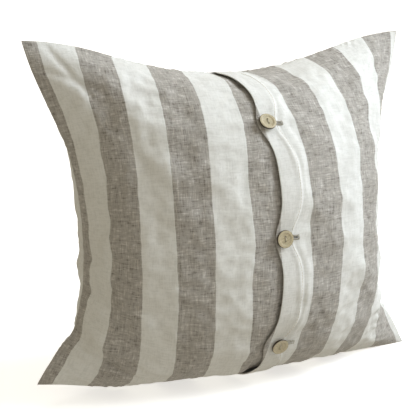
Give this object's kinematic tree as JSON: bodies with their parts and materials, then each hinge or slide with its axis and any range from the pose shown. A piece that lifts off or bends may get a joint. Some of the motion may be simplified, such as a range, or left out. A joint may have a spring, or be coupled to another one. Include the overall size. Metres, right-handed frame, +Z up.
{
  "type": "throw pillow",
  "caption": "Square striped linen throw pillow with a buttoned placket, standing on its flattened bottom edge.",
  "frame": {"origin": "on the ground, at the centre of the bounding box's base", "axes": "+X to the pillow's right seen from the front, -Y out of the buttoned front, +Z up"},
  "size_m": [0.496, 0.2715, 0.412],
  "materials": {
    "linen": "heathered linen, broad grey and white stripes",
    "ticking": "close plain weave",
    "fibre": "loose fibre",
    "thread": "sewing thread",
    "button_thread": "waxed thread",
    "coconut": "polished coconut shell"
  },
  "bodies": {
    "cover": {"cover_back_panel": "linen", "cover_left_panel": "linen", "cover_right_panel": "linen", "cover_seam_thread": "thread", "insert_front_ticking": "ticking", "insert_back_ticking": "ticking", "insert_seam_thread": "thread", "filling": "fibre"},
    "flap": {"placket_flap": "linen", "buttonhole_threads": "thread", "flap_hem_thread": "thread"},
    "shank_top": {"button_shank_top": "button_thread"},
    "button_top": {"button_top": "coconut", "button_thread_top": "button_thread"},
    "shank_middle": {"button_shank_middle": "button_thread"},
    "button_middle": {"button_middle": "coconut", "button_thread_middle": "button_thread"},
    "shank_bottom": {"button_shank_bottom": "button_thread"},
    "button_bottom": {"button_bottom": "coconut", "button_thread_bottom": "button_thread"}
  },
  "joints": [
    {"name": "flap_lift", "type": "hinge", "parent": "cover", "child": "flap", "pos_m": [0.03648, -0.12613, 0.18019], "axis": [-0.0349, 0, 0.9994], "range_deg": [0, 1.5], "stiffness_Nm_per_rad": 0.05},
    {"name": "button_tilt_top", "type": "hinge", "parent": "cover", "child": "shank_top", "pos_m": [-0.00183, -0.10361, 0.30292], "axis": [1, 0.0002, 0], "range_deg": [-5, 5], "stiffness_Nm_per_rad": 0.0005},
    {"name": "button_spin_top", "type": "hinge", "parent": "shank_top", "child": "button_top", "pos_m": [-0.00183, -0.10361, 0.30292], "axis": [0.0002, -0.7941, 0.6078], "range_deg": [-30, 30], "stiffness_Nm_per_rad": 0.0005},
    {"name": "button_tilt_middle", "type": "hinge", "parent": "cover", "child": "shank_middle", "pos_m": [0.0025, -0.12707, 0.179], "axis": [1, 0.0032, 0], "range_deg": [-5, 5], "stiffness_Nm_per_rad": 0.0005},
    {"name": "button_spin_middle", "type": "hinge", "parent": "shank_middle", "child": "button_middle", "pos_m": [0.0025, -0.12707, 0.179], "axis": [0.0032, -1, -0.0046], "range_deg": [-30, 30], "stiffness_Nm_per_rad": 0.0005},
    {"name": "button_tilt_bottom", "type": "hinge", "parent": "cover", "child": "shank_bottom", "pos_m": [0.00683, -0.1017, 0.05508], "axis": [1, 0.0058, 0], "range_deg": [-5, 5], "stiffness_Nm_per_rad": 0.0005},
    {"name": "button_spin_bottom", "type": "hinge", "parent": "shank_bottom", "child": "button_bottom", "pos_m": [0.00683, -0.1017, 0.05508], "axis": [0.0051, -0.8867, -0.4623], "range_deg": [-30, 30], "stiffness_Nm_per_rad": 0.0005}
  ]
}
